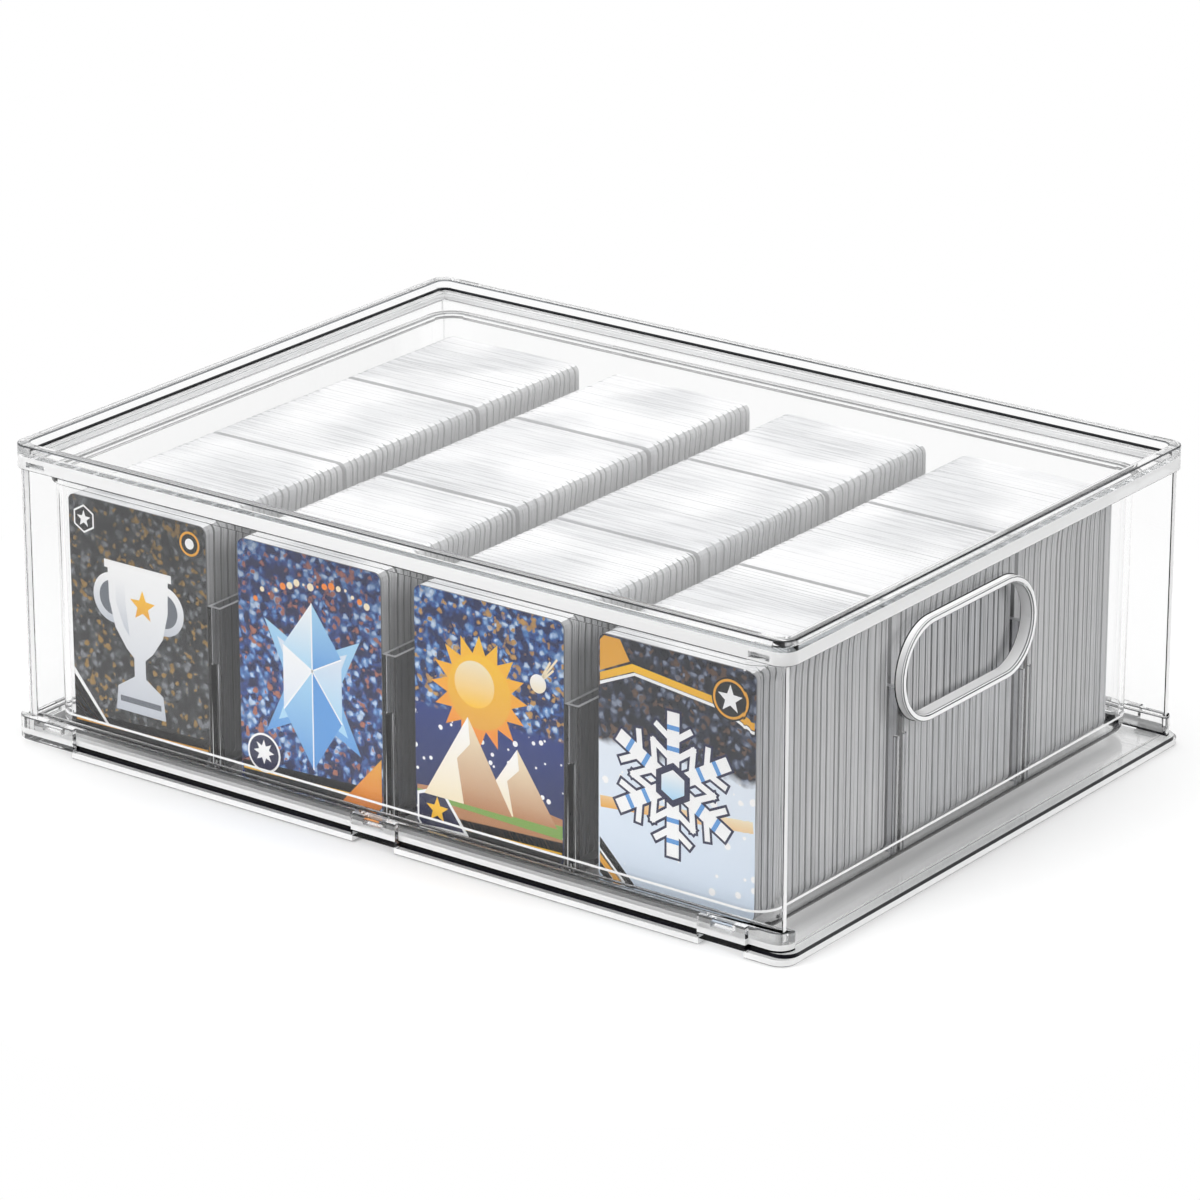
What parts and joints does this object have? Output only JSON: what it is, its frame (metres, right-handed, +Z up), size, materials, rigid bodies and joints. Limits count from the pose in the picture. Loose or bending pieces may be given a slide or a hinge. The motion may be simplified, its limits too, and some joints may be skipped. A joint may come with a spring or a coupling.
{
  "type": "trading card storage box",
  "caption": "Clear plastic storage box for trading cards: snapped casing, open at one end, with a sliding drawer of divided card stacks.",
  "frame": {"origin": "middle of the footprint, on the surface that the box stands on", "axes": "+Z up, +Y along the long side from the drawer's handle end to the back, +X across the box"},
  "size_m": [0.251, 0.338, 0.114],
  "materials": {
    "clear_plastic": "clear moulded polystyrene, polished",
    "clear_sheet": "clear flat polystyrene sheet",
    "smoky_plastic": "clear grey moulded polystyrene",
    "printed_card": "printed and varnished card",
    "card_stock": "white card, cut edges"
  },
  "bodies": {
    "casing": {"base_tray": "clear_plastic", "top_panel": "clear_plastic", "left_side_panel": "clear_sheet", "right_side_panel": "clear_sheet", "back_panel": "clear_sheet"},
    "drawer": {"drawer_bin": "clear_plastic", "row_divider_1": "smoky_plastic", "row_divider_2": "smoky_plastic", "column_divider_1": "smoky_plastic", "column_divider_2": "smoky_plastic", "column_divider_3": "smoky_plastic", "front_card_1": "printed_card", "front_card_2": "printed_card", "front_card_3": "printed_card", "front_card_4": "printed_card", "card_stack_r1_c1": "card_stock", "card_stack_r1_c2": "card_stock", "card_stack_r1_c3": "card_stock", "card_stack_r1_c4": "card_stock", "card_stack_r2_c1": "card_stock", "card_stack_r2_c2": "card_stock", "card_stack_r2_c3": "card_stock", "card_stack_r2_c4": "card_stock", "card_stack_r3_c1": "card_stock", "card_stack_r3_c2": "card_stock", "card_stack_r3_c3": "card_stock", "card_stack_r3_c4": "card_stock"}
  },
  "joints": [
    {"name": "drawer_slide", "type": "slide", "parent": "casing", "child": "drawer", "axis": [0, -1, 0], "range_m": [0, 0.28]}
  ]
}
